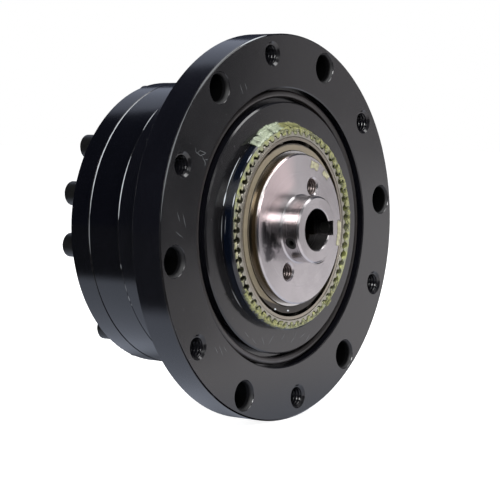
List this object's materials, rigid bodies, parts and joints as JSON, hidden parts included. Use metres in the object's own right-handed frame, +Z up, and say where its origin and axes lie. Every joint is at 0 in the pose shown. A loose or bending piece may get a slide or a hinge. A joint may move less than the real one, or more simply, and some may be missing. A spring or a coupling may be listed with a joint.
{
  "type": "strain wave gear unit",
  "caption": "Round strain wave gear unit with a wide mounting flange, stepped black body, open toothed front and a keyed steel wave generator.",
  "frame": {"origin": "centre of the mounting flange's front face, on the gear's axis", "axes": "-Y out of the front (input) face along the gear axis, +Y towards the output side, +Z up through a tapped flange hole, +X to the right seen from the front"},
  "size_m": [0.16, 0.0872, 0.16],
  "materials": {
    "black_coat": "semi-gloss black coat on cast iron",
    "black_screw": "black oxide",
    "machined_steel": "turned",
    "bearing_steel": "ground",
    "tan_cage": "satin, lightly greased",
    "black_rubber": "oiled"
  },
  "bodies": {
    "casing": {"flange_housing": "black_coat", "circular_spline": "black_coat", "spline_screws": "black_screw", "spline_dowels": "bearing_steel", "face_o_ring": "black_rubber", "bearing_outer_ring": "black_coat", "roller_plug": "black_coat", "roller_plug_pin": "bearing_steel", "housing_o_ring": "black_rubber", "rear_cover": "black_coat", "cover_o_ring": "black_rubber", "housing_screws": "black_screw", "output_seal": "black_rubber"},
    "output": {"output_flange": "machined_steel", "flexspline": "machined_steel", "clamp_ring": "machined_steel", "flexspline_screws": "black_screw", "flexspline_dowels": "bearing_steel"},
    "roller_set": {"crossed_rollers": "bearing_steel", "roller_spacers": "tan_cage"},
    "wave_generator": {"wave_plug": "machined_steel", "hub_set_screws": "black_screw", "wave_inner_ring": "bearing_steel", "wave_balls": "bearing_steel", "wave_cage": "tan_cage", "wave_outer_ring": "bearing_steel", "bearing_retainer": "machined_steel", "retainer_screws": "black_screw"}
  },
  "joints": [
    {"name": "output_turn", "type": "hinge", "parent": "casing", "child": "output", "pos_m": [0, 0, 0], "axis": [0, 1, 0], "continuous": true},
    {"name": "roller_orbit", "type": "hinge", "parent": "casing", "child": "roller_set", "pos_m": [0, 0, 0], "axis": [0, 1, 0], "continuous": true},
    {"name": "wave_generator_turn", "type": "hinge", "parent": "output", "child": "wave_generator", "pos_m": [0, 0, 0], "axis": [0, 1, 0], "continuous": true, "deforming": ["flexspline"]}
  ],
  "couplings": [
    {"joint": "output_turn", "follows": "wave_generator_turn", "ratio": -0.032258},
    {"joint": "roller_orbit", "follows": "wave_generator_turn", "ratio": -0.015377}
  ]
}
